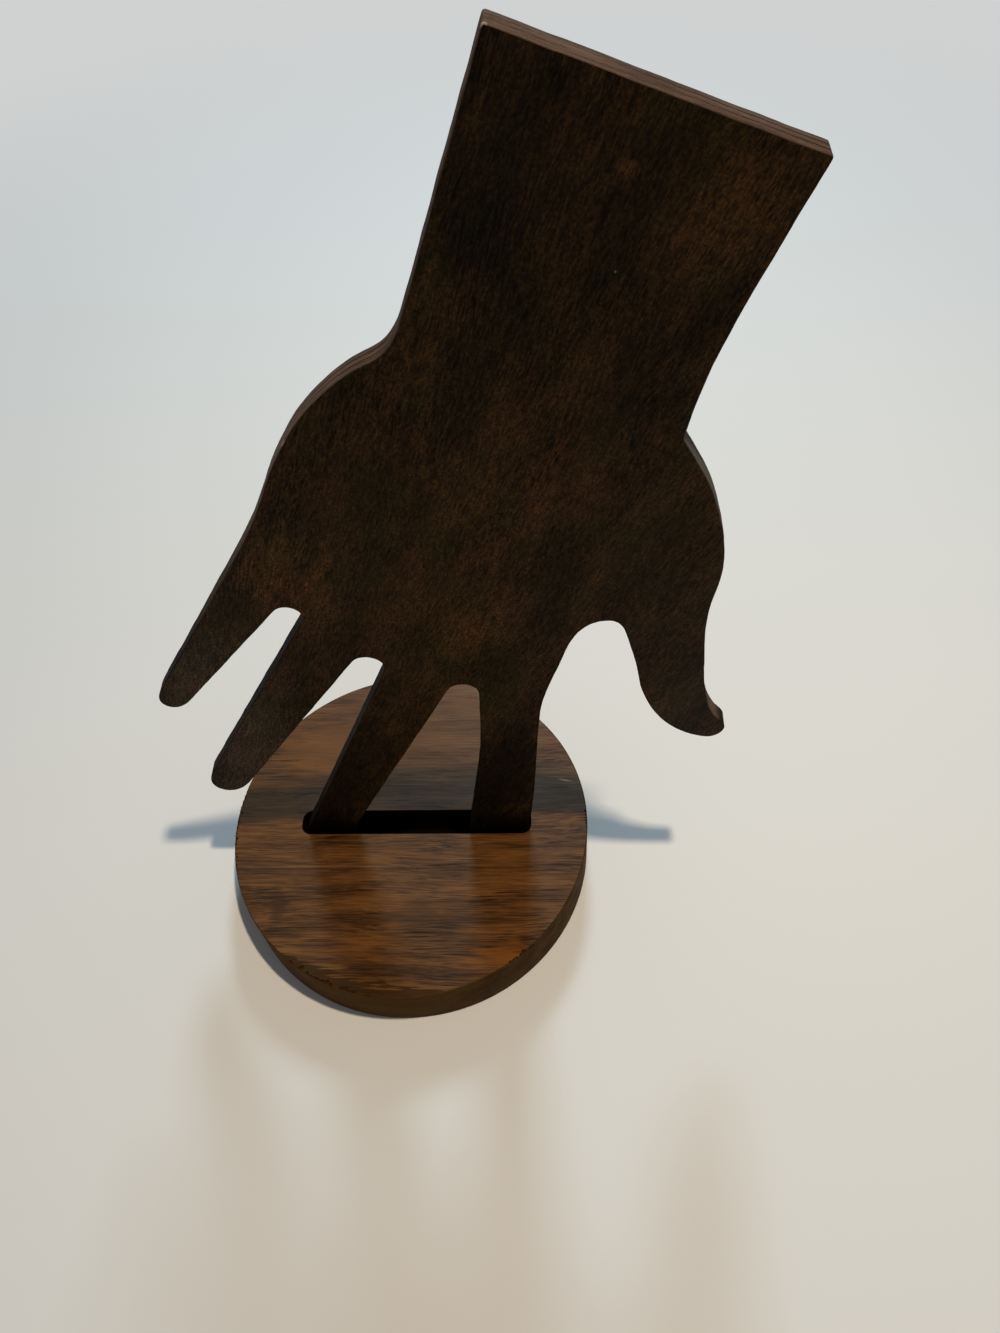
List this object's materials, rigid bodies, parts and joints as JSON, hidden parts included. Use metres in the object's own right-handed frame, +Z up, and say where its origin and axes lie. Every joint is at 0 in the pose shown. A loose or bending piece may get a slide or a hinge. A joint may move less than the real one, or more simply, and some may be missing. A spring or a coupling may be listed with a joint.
{
  "type": "hand jewelry stand",
  "caption": "Flat plywood hand that stands fingers down in the slot of a round wooden base, for rings, bracelets and necklaces.",
  "frame": {"origin": "middle of the round base's underside", "axes": "+Z up, +X along the base's slot towards the thumb's side, -Y out of the hand's front face"},
  "size_m": [0.159, 0.12, 0.2695],
  "materials": {
    "base_face": "stained veneer, semi-gloss",
    "base_edge": "stained edge, matt",
    "hand_face": "dark stain, satin",
    "hand_edge": "thinly stained ply edge, matt"
  },
  "bodies": {
    "base": {"base_bottom_veneer": "base_face", "base_core": "base_edge", "base_top_veneer": "base_face"},
    "hand": {"hand_front_ply": "hand_face", "hand_core_ply": "hand_edge", "hand_back_ply": "hand_face"}
  },
  "joints": [
    {"name": "hand_lift", "type": "slide", "parent": "base", "child": "hand", "axis": [0, 0, 1], "range_m": [0, 0.04]}
  ]
}
